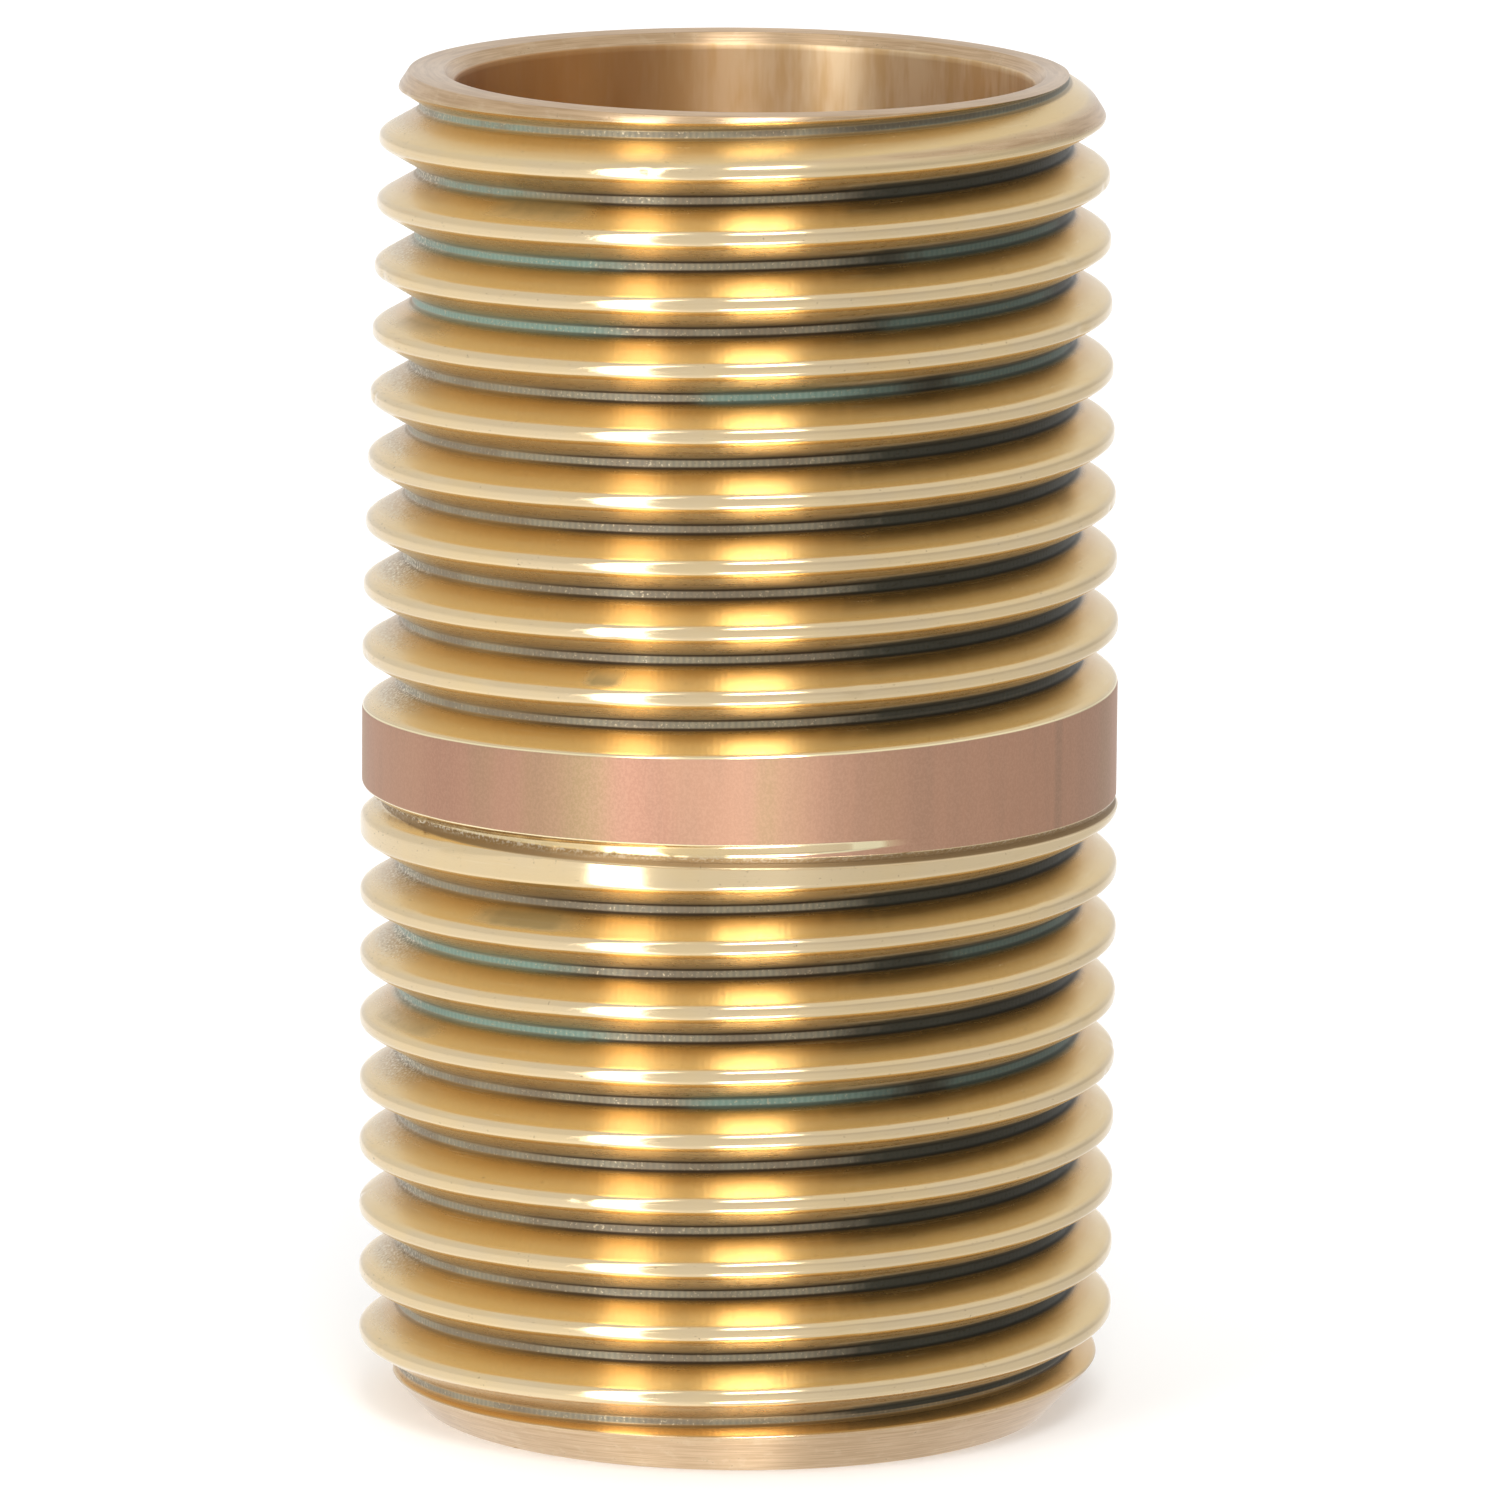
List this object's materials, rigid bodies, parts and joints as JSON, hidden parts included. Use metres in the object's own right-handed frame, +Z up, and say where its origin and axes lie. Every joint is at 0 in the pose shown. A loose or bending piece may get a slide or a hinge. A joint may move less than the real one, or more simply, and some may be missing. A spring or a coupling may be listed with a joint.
{
  "type": "threaded pipe nipple",
  "caption": "Short brass pipe nipple: a straight length of thick-walled half-inch pipe with pipe thread on both ends and a plain copper-coloured band between them.",
  "frame": {"origin": "centre of the lower end face", "axes": "+Z up the bore axis, from the lower end face towards the upper one; the part is turned about Z so that -Y faces the viewer and the thread run-outs are at the back"},
  "size_m": [0.0214, 0.0214, 0.0381],
  "materials": {
    "cut_brass": "bright machined",
    "mill_surface_brass": "satin, copper-pink mill surface"
  },
  "bodies": {
    "root": {"upper_threaded_end": "cut_brass", "centre_band": "mill_surface_brass", "lower_threaded_end": "cut_brass"}
  },
  "joints": []
}
